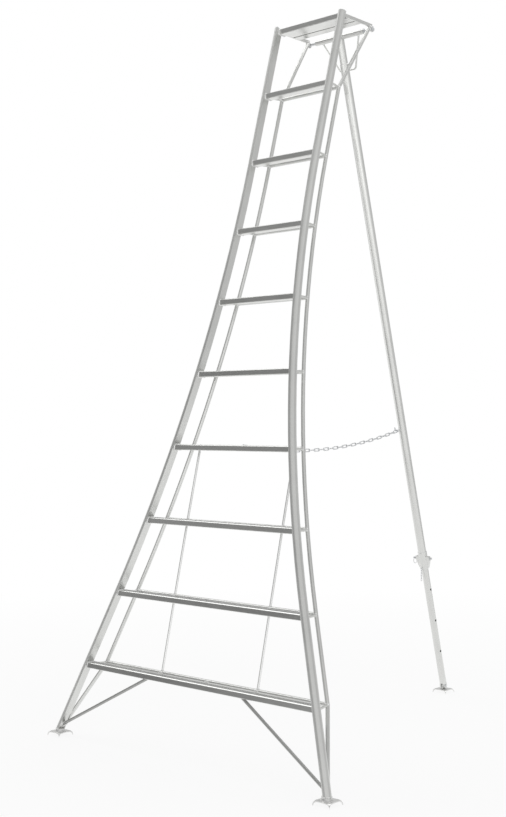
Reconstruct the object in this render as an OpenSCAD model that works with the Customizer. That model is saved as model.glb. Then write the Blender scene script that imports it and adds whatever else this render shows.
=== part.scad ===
// Orchard picking ladder: two stiles that splay in a long curve, nine treads
// with a front and a rear bar, a small platform, and a hinged rear leg that
// telescopes and is held by a chain. Lengths are in millimetres, +Z is up,
// the climber stands on the -Y side, and the origin lies on the ground in the
// middle between the front feet and the rear foot.

/* [Ladder] */
// Height from one tread to the next
tread_pitch = 300; // [260:1:330]
// Height of the middle of the lowest tread
first_tread_h = 295; // [250:1:340]
// Height of the platform's front bar above the top tread
platform_rise = 298; // [250:1:320]
// Clear width between the stiles at the top
top_gap = 334; // [280:1:380]
// Backward lean of the ladder, in degrees
lean = 15.4; // [10:0.1:20]
// Radius of the long outward bend of a stile
bend_r = 5460; // [4500:10:7000]
// Angle of that bend, in degrees
bend_angle = 19.8; // [10:0.1:24]
// Turn of the bend's plane about the stile, in degrees
bend_roll = 6.4; // [0:0.1:10]
// Distance from the front feet to the rear foot
base_depth = 1782; // [1500:1:2000]

/* [Stile] */
// Depth of the round tube that the stile is made from
stile_d = 35; // [30:0.5:50]
// Width from the flat inner face to the round outer face
stile_w = 24; // [20:0.5:34]
// Wall of the stile
stile_wall = 2; // [1.5:0.1:3]
// Height of the stile's end above the middle of the platform's front bar
stile_over = 14; // [8:1:60]
// Thickness of the cap on the stile
cap_t = 4; // [2:0.5:8]
// Length of the cap's plug inside the stile
cap_plug = 18; // [8:1:40]

/* [Treads] */
// Height of a front bar
bar_h = 23; // [18:0.5:30]
// Depth of a front bar
bar_d = 38; // [28:0.5:50]
// Wall of a front bar
bar_wall = 1.8; // [1.2:0.1:3]
// Radius of a front bar's rounded nose
nose_r = 13.5; // [12:0.5:30]
// Depth by which that nose is cut flat
nose_flat = 3.5; // [0:0.5:5]
// Distance of a tread's front face ahead of the middle of the stile
bar_set = 9; // [4:0.5:16]
// Width of a groove in a front bar's top
groove_w = 2.4; // [1:0.1:4]
// Depth of that groove
groove_deep = 0.8; // [0.4:0.1:1.2]
// Diameter of the rear bars and of the tubes that join them
rear_d = 16; // [12:0.5:22]
// Wall of those tubes
rear_wall = 1.5; // [1:0.1:2.5]
// Distance of the rear bars behind the middle of the stile
rear_back = 88; // [70:0.5:110]
// Distance of the rear tube inside the stile's flat face
rear_in = 11.6; // [8:0.1:20]
// Diameter of the links from a stile to its rear tube
link_d = 10; // [8:0.5:12]
// Diameter of the upright rods between the lower rear bars
rod_d = 10; // [8:0.5:14]
// Distance of those rods from the middle
rod_x = 256; // [180:1:280]
// Width of the ties from a front bar to its rear bar
tie_w = 14; // [8:0.5:24]
// Thickness of those ties
tie_t = 5; // [3:0.5:8]
// Diameter of the braces under the lowest tread
brace_d = 12; // [8:0.5:16]
// Height where a brace meets its stile
brace_foot_h = 48; // [40:1:150]

/* [Platform] */
// Distance of the front bar's face ahead of the middle of the stile
deck_set = 2; // [0:0.5:14]
// Distance from the front bar's face to the leg hinge
deck_depth = 214; // [180:1:260]
// Depth of the front slat
slat_front_d = 50; // [30:1:60]
// Depth of the rear slat
slat_rear_d = 40; // [30:1:60]
// Thickness of the slats
slat_t = 14; // [8:0.5:20]
// Space between neighbouring slats
slat_gap = 7; // [4:0.5:12]
// Thickness of the two side bars
side_t = 6; // [4:0.5:8]
// Height of the two side bars
side_h = 14; // [12:0.5:30]
// Drop of the hinge's axis below the middle of the front bar
hinge_drop = 9; // [0:0.5:14]
// Diameter of the hinge rod
hinge_d = 12; // [10:0.5:16]
// Diameter of the sleeve on the hinge rod
sleeve_d = 22; // [18:0.5:30]
// Length of that sleeve
sleeve_l = 262; // [200:1:290]
// Width of the collars beside the sleeve
collar_w = 8; // [4:0.5:14]

/* [Rear leg] */
// Diameter of the upper leg tube
leg_d = 38; // [32:0.5:48]
// Wall of the leg tubes
leg_wall = 2; // [1.5:0.1:3]
// Length of the neck between the sleeve and the upper tube
neck_l = 116; // [60:1:160]
// Diameter of the lower leg tube
inner_d = 32; // [26:0.5:32.5]
// Distance from the hinge to the top of the lower tube
inner_top = 1830; // [1500:5:1900]
// Distance from the hinge to the lock pin
lock_at = 2412; // [2300:1:2500]
// Spacing of the holes in the lower tube
hole_pitch = 157; // [120:1:180]
// Diameter of the lock pin
pin_d = 10; // [8:0.5:12]
// Distance from the middle of the leg to the end of a lock ear
ear_x = 37; // [30:0.5:50]
// Diameter of the lock collar
lock_d = 43; // [40:0.5:56]
// Diameter of the yoke's rod
yoke_d = 8; // [6:0.5:12]
// Distance from the middle to the yoke's end on the sleeve
yoke_top_x = 100; // [60:1:120]
// Distance from the middle to the yoke's lower corner
yoke_low_x = 41; // [26:1:60]
// Distance of the yoke's lower rod below the hinge
yoke_drop = 143; // [125:1:180]
// Centre-line radius of the yoke's bends
yoke_bend = 14; // [10:0.5:24]

/* [Feet] */
// Width of a foot across its claws
foot_size = 83; // [70:1:100]
// Height of a foot's plate above the ground
foot_h = 16; // [10:0.5:20]
// Thickness of a foot's plate
plate_t = 4; // [3:0.5:6]
// Width of a claw
claw_w = 11; // [8:0.5:16]
// Distance of a front foot's middle behind its stile
foot_back = 4; // [0:1:20]
// Height of the rear foot's pivot above the ground
pivot_h = 33; // [30:0.5:42]
// Thickness of the rear foot's lug
lug_t = 8; // [6:0.5:12]

/* [Chain] */
// Distance of the chain's plane from the middle
chain_x = 33; // [30:0.5:40]
// Diameter of the chain's wire
wire_d = 4; // [3:0.1:4.5]
// Centre-line radius of a link's bow
bow_r = 5.5; // [5:0.1:7]
// Sag of the chain below its ends
chain_sag = 48; // [20:1:90]
// Diameter of the eye and of the hook
eye_d = 6; // [4:0.5:6]
// Distance from the hinge to the hook, along the leg
hook_at = 1788; // [1600:1:1820]

/* [Fits] */
// Gap that a weld seam fills
weld_gap = 0.2; // [0.1:0.05:0.4]
// Radial clearance of a pin or rod that turns or slides
run_gap = 0.08; // [0.03:0.01:0.1]
// Clearance between pieces that move past each other
free_gap = 0.4; // [0.3:0.1:1]
// Length by which a cutting body passes the face it cuts
overrun = 6; // [4:0.5:12]

/* [Hidden] */
$fn = 48;
tread_count = 9;
chain_tread = 4;
rod_treads = 4;
link_count = 33;
front_links = 15;
keeper_links = 5;
grooves = 5;
holes_each_way = 3;
arc_fn = 360;
link_out_share = 1.6;
foot_turn_share = 0.13;
plate_share = 0.8;
corner_share = 0.92;
neck_share = 0.9;
metal = [0.72, 0.73, 0.72];
dark_metal = [0.56, 0.57, 0.57];

// Heights of the treads, the bend's start and the platform's front bar.
function tread_z(i) = first_tread_h + (i - 1) * tread_pitch;
bend_z = tread_z(tread_count - 1);
platform_z = tread_z(tread_count) + platform_rise;
stile_top_z = platform_z + stile_over;

// The stile runs straight up from the bend's start, in a long arc below it,
// and straight again below the arc. u_dir points up the upper part, b_dir
// towards the outside of the bend, low_dir down the lower part.
n_dir = [0, cos(lean), -sin(lean)];
u_dir = [0, sin(lean), cos(lean)];
b_dir = cos(bend_roll) * [1, 0, 0] + sin(bend_roll) * n_dir;
low_dir = sin(bend_angle) * b_dir - cos(bend_angle) * u_dir;
arc_end = bend_r * (1 - cos(bend_angle)) * b_dir - bend_r * sin(bend_angle) * u_dir;
arc_low_z = bend_z + arc_end[2];
wave_a = bend_r * u_dir[2];
wave_b = -bend_r * b_dir[2];
wave = sqrt(wave_a * wave_a + wave_b * wave_b);

// Angle of the bend at a height, and the stile's way from the bend's start.
function arc_at(z) = atan2(wave_b, wave_a) + asin((bend_z - z - wave_b) / wave);
function bend_at(z) = z >= bend_z ? 0 : z <= arc_low_z ? bend_angle : arc_at(z);
function arc_way(t) = bend_r * (1 - cos(t)) * b_dir - bend_r * sin(t) * u_dir;
function low_way(z) = arc_end + low_dir * (z - arc_low_z) / low_dir[2];
function way(z) = z >= bend_z ? u_dir * (z - bend_z) / u_dir[2]
    : z <= arc_low_z ? low_way(z) : arc_way(bend_at(z));

// Points on the middle of the right stile's flat face and on its rear tube.
bend_y = -base_depth / 2 - foot_back - way(foot_h)[1];
bend_start = [top_gap / 2, bend_y, bend_z];
rear_shift = [-rear_in, rear_back, 0];
function stile_point(z) = bend_start + way(z);
function rear_point(z) = stile_point(z) + rear_shift;

// Radii and positions that follow from the sizes above.
stile_r = stile_d / 2;
stile_mid = stile_w - stile_r;
seam_l = weld_gap;
seam_in = weld_gap / 10;
rear_r = rear_d / 2;
bar_back = bar_d - bar_set;
deck_y = stile_point(platform_z)[1] - deck_set;
hinge_y = deck_y + deck_depth;
hinge_z = platform_z - hinge_drop;
deck_top = platform_z + bar_h / 2;
side_x = top_gap / 2 + side_t;
side_low = deck_top - side_h;
eye_r = hinge_d / 2 + side_t;
corner = [side_x - side_t / 2, hinge_y - side_t, side_low + rear_r];
turn_high = rear_point(tread_z(tread_count));
turn_low = rear_point(tread_z(1));
turn_foot_z = tread_z(1) * foot_turn_share;
turn_foot = stile_point(turn_foot_z) + [stile_mid, stile_r / 2, 0];
pivot_y = base_depth / 2;
leg_lean = atan2(pivot_y - hinge_y, hinge_z - pivot_h);
leg_l = norm([pivot_y - hinge_y, hinge_z - pivot_h]);
leg_r = leg_d / 2;
inner_r = inner_d / 2;
pin_r = pin_d / 2;
collar_up = 3 * pin_d;
collar_down = 5 * pin_d;
upper_end = lock_at + collar_down / 2;
fork_r = inner_r - leg_wall - run_gap;
fork_w = inner_d * 3 / 4;
tube_end = leg_l - inner_r;
lug_r = pin_d;
foot_x = stile_point(foot_h)[0] + stile_w / 4;
claw_mid = foot_size / sqrt(2) - claw_w / 2 - foot_h;
ring_r = pin_d * 1.4;
ring_wire = pin_d / 8;
ring_room = pin_r * pin_r / (2 * ring_r);
tail_x = ear_x + pin_d;

// The chain hangs in an arc through the eye's rod and the hook's rod, and its
// links lie between points at equal angles on that arc.
eye_lift = eye_d;
eye_bend = eye_d;
eye_off = rear_r + 2 * wire_d + eye_d / 2;
eye_pos = [-chain_x, rear_point(tread_z(chain_tread))[1] + eye_off, tread_z(chain_tread) + eye_lift];
hook_pos = [-chain_x, hinge_y + hook_at * sin(leg_lean), hinge_z - hook_at * cos(leg_lean)];
chord = norm(hook_pos - eye_pos);
chord_rise = atan2(hook_pos[2] - eye_pos[2], hook_pos[1] - eye_pos[1]);
hang_r = (chord * chord / 4 + chain_sag * chain_sag) / (2 * chain_sag);
hang_half = asin(chord / 2 / hang_r);
wire_step = wire_d + free_gap;
rod_inset = wire_d / 2 + eye_d / 2 + free_gap - wire_step / 2;
hang_end = hang_half + rod_inset / hang_r * 180 / PI;
hang_step = 2 * hang_end / link_count;
link_pitch = 2 * hang_r * sin(hang_step / 2);
link_reach = link_pitch + wire_step;
hang_mid = (eye_pos + hook_pos) / 2
    + (hang_r - chain_sag) * [0, -sin(chord_rise), cos(chord_rise)];
function hang_angle(i) = -hang_end + i * hang_step;
function hang_point(i) = hang_mid
    + hang_r * [0, sin(hang_angle(i) + chord_rise), -cos(hang_angle(i) + chord_rise)];

// Puts a right-hand piece on the side s, where -1 is the left.
module on_side(s) {
    if (s < 0) mirror([1, 0, 0]) children();
    else children();
}

// A round bar of radius r from p to q.
module rod(p, q, r) {
    way = q - p;
    l = norm(way);
    translate(p) rotate([0, acos(way[2] / l), atan2(way[1], way[0])])
        cylinder(h = l, r = r);
}

// Frame on the stile at a height: x outwards from the flat, y back, z up it.
module at_stile(z) {
    translate(stile_point(z)) rotate([-lean, 0, 0]) rotate([0, 0, bend_roll])
        rotate([0, -bend_at(z), 0]) rotate([0, 0, -bend_roll]) children();
}

// Frame on the leg: origin on the hinge's axis, z up the leg, y to the back.
module at_leg() {
    translate([0, hinge_y, hinge_z]) rotate([leg_lean, 0, 0]) children();
}

// A section run along the stile's curve, from low_l below the arc to high_l
// above it. The section's x points outwards and its y to the back. The second
// child is the section below the arc, which enters the arc's end by seam_l.
module along_bend(low_l, high_l) {
    translate(bend_start) rotate([-lean, 0, 0]) rotate([0, 0, bend_roll]) {
        linear_extrude(high_l) rotate(-bend_roll) children(0);
        translate([bend_r, 0, 0]) rotate([90, 0, 0])
            rotate_extrude(angle = bend_angle, start = 180, $fn = arc_fn)
                translate([bend_r, 0]) rotate(180 - bend_roll) children(0);
        translate([bend_r, 0, 0]) rotate([0, -bend_angle, 0]) translate([-bend_r, 0, -low_l])
            linear_extrude(low_l + seam_l) rotate(-bend_roll) children(1);
    }
}

// The stile's section, inset from its outline: a round tube with one flat.
module stile_section(inset) {
    difference() {
        translate([stile_mid, 0]) circle(stile_r - inset);
        translate([inset - stile_d, -stile_d]) square([stile_d, 2 * stile_d]);
    }
}

// The hollow section, thinned by step on both faces of its wall.
module stile_tube(step) {
    difference() {
        stile_section(step);
        stile_section(stile_wall - step);
    }
}

module stile(s) {
    low_l = (arc_low_z - foot_h) / -low_dir[2] + stile_d;
    high_l = (stile_top_z - bend_z) / u_dir[2];
    on_side(s) color(metal) difference() {
        along_bend(low_l, high_l) {
            stile_tube(0);
            stile_tube(seam_in);
        }
        translate([stile_point(0)[0] - 2 * stile_d, stile_point(0)[1] - 2 * stile_d, -stile_d])
            cube([5 * stile_d, 4 * stile_d, stile_d + foot_h + weld_gap]);
    }
}

// The cap is a plate with a raised middle, on a plug inside the stile.
module stile_cap(s) {
    on_side(s) color(dark_metal) at_stile(stile_top_z) {
        translate([0, 0, weld_gap]) linear_extrude(cap_t / 2) stile_section(0);
        translate([0, 0, weld_gap + cap_t / 2]) linear_extrude(cap_t / 2)
            stile_section(stile_wall / 2);
        translate([0, 0, -cap_plug]) linear_extrude(cap_plug + weld_gap)
            stile_section(stile_wall + weld_gap);
    }
}

// One foot plate with four claws, its middle on the origin at ground level.
module claw_foot() {
    inner_r = foot_h * 2 / 3;
    shift = foot_h / 4;
    for (a = [45, 135]) rotate([0, 0, a]) rotate([90, 0, 0])
        linear_extrude(claw_w, center = true) {
            translate([-claw_mid, foot_h - plate_t]) square([2 * claw_mid, plate_t]);
            for (m = [0, 1]) mirror([m, 0]) difference() {
                intersection() {
                    translate([claw_mid, 0]) circle(foot_h);
                    translate([claw_mid, 0]) square([2 * foot_h, 2 * foot_h]);
                }
                translate([claw_mid + shift, 0]) circle(inner_r);
            }
        }
    plate = foot_size * plate_share;
    corner = 2 * claw_mid * corner_share;
    translate([0, 0, foot_h - plate_t * 7 / 8]) linear_extrude(plate_t * 3 / 4) intersection() {
        square([plate, plate], center = true);
        rotate(45) square([corner, corner], center = true);
    }
}

module foot_front(s) {
    color(metal) translate([s * foot_x, -base_depth / 2, 0]) claw_foot();
}

// The rear foot's plate carries a lug that swings on the leg's pivot pin.
module foot_rear() {
    color(metal) translate([0, pivot_y, 0]) {
        claw_foot();
        difference() {
            translate([-lug_t / 2, 0, 0]) rotate([90, 0, 90]) linear_extrude(lug_t) {
                translate([-lug_r * neck_share, foot_h - plate_t / 2])
                    square([2 * lug_r * neck_share, pivot_h - foot_h + plate_t / 2]);
                translate([0, pivot_h]) circle(lug_r);
            }
            translate([-lug_t, 0, pivot_h]) rotate([0, 90, 0])
                cylinder(h = 2 * lug_t, r = pin_r + run_gap);
        }
    }
}

// A mitre between two tubes that meet at p: cuts off what lies beyond the
// plane through p along d, moved by half a weld gap.
module mitre(p, d) {
    translate(p) rotate([0, acos(d[2] / norm(d)), atan2(d[1], d[0])])
        translate([-2 * rear_d, -2 * rear_d, -weld_gap / 2])
            cube([4 * rear_d, 4 * rear_d, 4 * rear_d]);
}

// A hollow rear tube from p to q, mitred at p against a tube that comes from
// the direction before.
module rear_strut(p, q, before) {
    way = (q - p) / norm(q - p);
    difference() {
        rod(p - way * rear_d, q, rear_r);
        rod(p - way * 2 * rear_d, q + way * rear_d, rear_r - rear_wall);
        mitre(p, -way - before);
    }
}

// The rear tube follows the stile. One mitred piece turns in to the stile
// above the foot, and one turns back at the top tread to carry the
// platform's rear corner.
module back_tube(s) {
    low_l = (arc_low_z - tread_z(1)) / -low_dir[2] + rear_d;
    high_l = (tread_z(tread_count) - bend_z) / u_dir[2] + rear_d;
    on_side(s) color(metal) {
        difference() {
            translate(rear_shift) along_bend(low_l, high_l) {
                rear_ring(0);
                rear_ring(seam_in);
            }
            mitre(turn_low, (turn_foot - turn_low) / norm(turn_foot - turn_low) + low_dir);
            mitre(turn_high, (corner - turn_high) / norm(corner - turn_high) + u_dir);
        }
        difference() {
            rear_strut(turn_low, turn_foot, low_dir);
            at_stile(turn_foot_z) translate([stile_mid, 0, -4 * stile_d])
                cylinder(h = 8 * stile_d, r = stile_r + weld_gap);
        }
        difference() {
            rear_strut(turn_high, corner, u_dir);
            translate([corner[0] - stile_d, corner[1] - stile_d, side_low - weld_gap])
                cube([2 * stile_d, 2 * stile_d, stile_d]);
            hinge_tube(4 * side_x, eye_r + weld_gap);
        }
    }
}

// The rear tube's section, thinned by step on both faces of its wall.
module rear_ring(step) {
    difference() {
        circle(rear_r - step);
        circle(rear_r - rear_wall + step);
    }
}

// A front bar's section from its nose at the origin, inset from the outline.
module bar_section(inset) {
    intersection() {
        translate([inset, inset - bar_h / 2]) square([bar_d - 2 * inset, bar_h - 2 * inset]);
        union() {
            translate([nose_r - nose_flat, 0]) circle(nose_r - inset);
            translate([nose_r - nose_flat, -bar_h]) square([bar_d, 2 * bar_h]);
        }
    }
}

// A hollow front bar at a height, its face ahead of the middle of the stiles
// by set, and cut off on their flat faces.
module front_bar(z, set) {
    half = stile_point(z)[0] + bar_h / 2;
    span = bar_d - nose_r;
    difference() {
        translate([-half, stile_point(z)[1] - set, z]) rotate([90, 0, 90]) linear_extrude(2 * half)
            difference() {
                bar_section(0);
                bar_section(bar_wall);
                for (k = [0 : grooves - 1])
                    translate([nose_r / 2 + (k + 0.5) * span / grooves, bar_h / 2 - groove_deep])
                        square([groove_w, bar_h]);
            }
        for (s = [-1, 1]) on_side(s) at_stile(z)
            translate([-weld_gap, -2 * bar_d, -2 * bar_h]) cube([2 * bar_d, 4 * bar_d, 4 * bar_h]);
    }
}

module tread_front(i) {
    color(metal) front_bar(tread_z(i), bar_set);
}

module rear_bar_at(i, x, r) {
    p = rear_point(tread_z(i));
    translate([-x, p[1], p[2]]) rotate([0, 90, 0]) cylinder(h = 2 * x, r = r);
}

module tread_rear(i) {
    z = tread_z(i);
    p = rear_point(z);
    color(metal) difference() {
        rear_bar_at(i, p[0], rear_r);
        rear_bar_at(i, p[0] + overrun, rear_r - rear_wall);
        for (s = [-1, 1]) on_side(s) translate(rear_shift) at_stile(z)
            cylinder(h = 4 * rear_d, r = rear_r + weld_gap, center = true);
    }
}

// Round links that tie each stile to its rear tube beside every tread.
module side_links(s) {
    on_side(s) color(metal) for (i = [1 : tread_count]) {
        z = tread_z(i);
        difference() {
            rod(stile_point(z) + [stile_mid * link_out_share, stile_r / 2, 0], rear_point(z), link_d / 2);
            at_stile(z) translate([stile_mid, 0, 0])
                cylinder(h = 4 * link_d, r = stile_r + weld_gap, center = true);
            translate(rear_shift) at_stile(z)
                cylinder(h = 4 * link_d, r = rear_r + weld_gap, center = true);
            if (i == 1) rod(turn_low, turn_foot, rear_r + 2 * weld_gap);
            if (i == tread_count) rod(turn_high, corner, rear_r + 2 * weld_gap);
        }
    }
}

// Flat ties from a front bar to its rear bar, at the upright rods, and one in
// the middle of the lowest tread.
module tread_ties() {
    color(metal) for (i = [1 : rod_treads]) for (x = i == 1 ? [-rod_x, 0, rod_x] : [-rod_x, rod_x]) {
        z = tread_z(i);
        y = stile_point(z)[1];
        difference() {
            translate([x - tie_w / 2, y + bar_back + weld_gap, z - tie_t / 2])
                cube([tie_w, rear_back - bar_back, tie_t]);
            rear_bar_at(i, 2 * rod_x, rear_r + weld_gap);
        }
    }
}

module inner_rods(s) {
    color(metal) for (i = [1 : rod_treads - 1]) {
        p = rear_point(tread_z(i));
        q = rear_point(tread_z(i + 1));
        difference() {
            rod([s * rod_x, p[1], p[2]], [s * rod_x, q[1], q[2]], rod_d / 2);
            rear_bar_at(i, 2 * rod_x, rear_r + weld_gap);
            rear_bar_at(i + 1, 2 * rod_x, rear_r + weld_gap);
        }
    }
}

// A brace from under the lowest tread's front bar to the stile's flat face.
module brace(s) {
    z = tread_z(1);
    low = stile_point(brace_foot_h);
    high = [rod_x, stile_point(z)[1] - bar_set + nose_r, z - bar_h / 2];
    reach = (low - high) / norm(low - high) * brace_d;
    on_side(s) color(metal) difference() {
        rod(high - reach, low + reach, brace_d / 2);
        translate(high + [-bar_d, -bar_d, -weld_gap]) cube([2 * bar_d, 2 * bar_d, bar_h]);
        at_stile(brace_foot_h) translate([-weld_gap, -stile_d, -2 * stile_d])
            cube([stile_d, 2 * stile_d, 4 * stile_d]);
    }
}

module platform_front_bar() {
    color(metal) front_bar(platform_z, deck_set);
}

// A hollow slat with a grooved top, from y on, level with the front bar's top.
module slat(y, d) {
    half = side_x - side_t / 2 - weld_gap;
    translate([-half, y, deck_top - slat_t]) rotate([90, 0, 90]) linear_extrude(2 * half)
        difference() {
            square([d, slat_t]);
            translate([bar_wall, bar_wall]) square([d - 2 * bar_wall, slat_t - 2 * bar_wall]);
            for (k = [0 : grooves - 1])
                translate([(k + 0.5) * d / grooves - groove_w / 2, slat_t - groove_deep])
                    square([groove_w, slat_t]);
        }
}

slat_front_y = deck_y + bar_d + slat_gap;
slat_rear_y = slat_front_y + slat_front_d + slat_gap;

module platform_slat_front() {
    color(metal) slat(slat_front_y, slat_front_d);
}

module platform_slat_rear() {
    color(metal) slat(slat_rear_y, slat_rear_d);
}

// A side bar from the back of the stile to an eye around the hinge rod.
module platform_side(s) {
    start = stile_point(platform_z)[1];
    on_side(s) color(metal) difference() {
        translate([side_x - side_t / 2, 0, 0]) rotate([90, 0, 90]) linear_extrude(side_t)
            difference() {
                union() {
                    translate([start, side_low]) square([hinge_y - start, side_h]);
                    translate([hinge_y, hinge_z]) circle(eye_r);
                }
                translate([hinge_y, hinge_z]) circle(hinge_d / 2 + run_gap);
            }
        at_stile(platform_z) translate([stile_mid, 0, -2 * stile_d])
            cylinder(h = 4 * stile_d, r = stile_r + weld_gap);
        at_stile(platform_z) translate([-stile_d, -2 * stile_d, -2 * stile_d])
            cube([3 * stile_d, 2 * stile_d, 4 * stile_d]);
    }
}

module hinge_tube(l, r) {
    translate([-l / 2, hinge_y, hinge_z]) rotate([0, 90, 0]) cylinder(h = l, r = r);
}

hinge_l = 2 * side_x + side_t + hinge_d;

module hinge_rod() {
    color(dark_metal) hinge_tube(hinge_l, hinge_d / 2);
}

// Collars that keep the sleeve in the middle of the rod, and one outside
// each side bar.
module hinge_collars() {
    color(dark_metal) for (s = [-1, 1]) on_side(s)
        for (x = [sleeve_l / 2 + free_gap, side_x + side_t / 2 + weld_gap])
            translate([x, hinge_y, hinge_z]) rotate([0, 90, 0]) difference() {
                cylinder(h = collar_w / 2, r = hinge_d / 2 + side_t * 0.6);
                translate([0, 0, -overrun]) cylinder(h = collar_w + 2 * overrun, r = hinge_d / 2 + run_gap);
            }
}

// A staple on the rear bar that holds the chain's first link. It lies in one
// plane, and its straight parts are plugged into two bends.
module chain_eye() {
    r = eye_d / 2;
    half = wire_d + eye_d;
    leg = norm([eye_off, eye_lift]);
    color(dark_metal) difference() {
        translate([-chain_x, eye_pos[1] - eye_off, eye_pos[2] - eye_lift])
            rotate([atan2(eye_lift, eye_off), 0, 0]) {
                translate([0, leg, 0]) rotate([0, 90, 0])
                    cylinder(h = 2 * (half - eye_bend) + r, r = r - weld_gap, center = true);
                for (m = [0, 1]) mirror([m, 0, 0]) {
                    translate([half - eye_bend, leg - eye_bend, 0]) rotate_extrude(angle = 90)
                        translate([eye_bend, 0]) circle(r);
                    translate([half, 0, 0]) rotate([-90, 0, 0])
                        cylinder(h = leg - eye_bend + r / 2, r = r - weld_gap);
                }
            }
        rear_bar_at(chain_tread, 2 * chain_x, rear_r + weld_gap);
    }
}

module hinge_sleeve() {
    color(metal) difference() {
        hinge_tube(sleeve_l, sleeve_d / 2);
        hinge_tube(sleeve_l + overrun, hinge_d / 2 + run_gap);
    }
}

// The neck runs from the sleeve into the upper tube.
module leg_head() {
    r = leg_r - leg_wall - run_gap;
    color(metal) at_leg() difference() {
        translate([0, 0, -2 * neck_l]) cylinder(h = 2 * neck_l, r = r);
        translate([0, 0, -2 * neck_l - overrun]) cylinder(h = 2 * neck_l + 2 * overrun, r = r - leg_wall);
        rotate([0, 90, 0]) cylinder(h = 2 * leg_d, r = sleeve_d / 2 + weld_gap, center = true);
    }
}

module cross_hole(u, r) {
    translate([0, 0, -u]) rotate([0, 90, 0]) cylinder(h = 2 * leg_d, r = r, center = true);
}

module leg_tube_upper() {
    color(metal) at_leg() difference() {
        translate([0, 0, -upper_end]) cylinder(h = upper_end - neck_l, r = leg_r);
        translate([0, 0, -upper_end - overrun])
            cylinder(h = upper_end - neck_l + 2 * overrun, r = leg_r - leg_wall);
        cross_hole(lock_at, pin_r + free_gap);
    }
}

// A rod that steadies the sleeve, its lower part behind the leg. It lies in one
// plane, and its straight parts are plugged into two bends.
module leg_yoke() {
    r = yoke_d / 2;
    low_y = leg_r + r + weld_gap;
    rise = norm([low_y - r, yoke_drop - r]);
    slant = atan2(rise, yoke_top_x - yoke_low_x);
    low_l = yoke_low_x - yoke_bend * tan(slant / 2);
    arm_l = norm([rise, yoke_top_x - yoke_low_x]);
    color(metal) at_leg() difference() {
        translate([0, low_y, -yoke_drop]) rotate([atan2(yoke_drop - r, r - low_y), 0, 0]) {
            rotate([0, 90, 0]) cylinder(h = 2 * low_l + r, r = r - weld_gap, center = true);
            for (m = [0, 1]) mirror([m, 0, 0]) translate([low_l, yoke_bend, 0]) {
                rotate_extrude(angle = slant, start = -90) translate([yoke_bend, 0]) circle(r);
                rotate([0, 0, slant]) translate([-r / 2, -yoke_bend, 0]) rotate([0, 90, 0])
                    cylinder(h = arm_l - yoke_bend * tan(slant / 2), r = r - weld_gap);
            }
        }
        rotate([0, 90, 0]) cylinder(h = 3 * yoke_top_x, r = sleeve_d / 2 + weld_gap, center = true);
    }
}

// A collar on the upper tube's end that guides the lower tube.
module lock_collar() {
    color(metal) at_leg() difference() {
        translate([0, 0, -lock_at - collar_down]) cylinder(h = collar_up + collar_down, r = lock_d / 2);
        translate([0, 0, -upper_end - weld_gap])
            cylinder(h = leg_l, r = leg_r + run_gap);
        translate([0, 0, -leg_l]) cylinder(h = leg_l, r = inner_r + run_gap);
        cross_hole(lock_at, pin_r + free_gap);
    }
}

// Two wedge-shaped ears on the collar that carry the lock pin.
module lock_ears() {
    top = pin_r + plate_t;
    color(metal) at_leg() translate([0, 0, -lock_at]) for (s = [-1, 1]) on_side(s) difference() {
        rotate([90, 0, 0]) linear_extrude(2 * (pin_r + plate_t / 2), center = true)
            polygon([[0, top], [ear_x, top], [ear_x, -top], [lock_d / 2 + leg_wall, plate_t - collar_down],
                [0, plate_t - collar_down]]);
        cylinder(h = 2 * leg_l, r = lock_d / 2 + weld_gap, center = true);
        rotate([0, 90, 0]) cylinder(h = 2 * ear_x, r = pin_r + run_gap);
    }
}

// An open hook on the leg's left side for the chain's last link, its straight
// parts plugged into one bend.
module chain_hook() {
    r = eye_d / 2;
    out = chain_x + wire_d + eye_d;
    color(dark_metal) at_leg() difference() {
        translate([0, 0, -hook_at]) {
            translate([eye_bend - out - r / 2, 0, 0]) rotate([0, 90, 0])
                cylinder(h = out, r = r - weld_gap);
            translate([eye_bend - out, 0, eye_bend]) rotate([90, 0, 0])
                rotate_extrude(angle = 90, start = 180) translate([eye_bend, 0]) circle(r);
            translate([-out, 0, eye_bend - r / 2]) cylinder(h = 2 * eye_d, r = r - weld_gap);
        }
        translate([0, 0, -leg_l]) cylinder(h = leg_l, r = leg_r + weld_gap);
    }
}

// One link in the XY plane: reach is the length between its two bows.
module chain_link(reach, bow, wire) {
    straight = reach - 2 * bow;
    for (m = [0, 1]) mirror([m, 0, 0]) translate([straight / 2, 0, 0]) rotate([0, 0, -90])
        rotate_extrude(angle = 180) translate([bow, 0]) circle(wire / 2);
    for (s = [-1, 1]) translate([-straight / 2, s * bow, 0]) rotate([0, 90, 0])
        cylinder(h = straight, r = wire / 2);
}

// Link i of the chain, upright when its number is even and flat when odd.
module hung_link(i) {
    p = hang_point(i);
    q = hang_point(i + 1);
    rise = atan2(q[2] - p[2], q[1] - p[1]);
    translate((p + q) / 2) rotate([rise, 0, 0]) rotate([0, 0, 90])
        rotate([i % 2 == 0 ? 90 : 0, 0, 0]) chain_link(link_reach, bow_r, wire_d);
}

module chain_links_front() {
    color(dark_metal) for (i = [0 : front_links - 1]) hung_link(i);
}

module chain_link_mid() {
    color(dark_metal) hung_link(front_links);
}

module chain_links_rear() {
    color(dark_metal) for (i = [front_links + 1 : link_count - 1]) hung_link(i);
}

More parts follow.
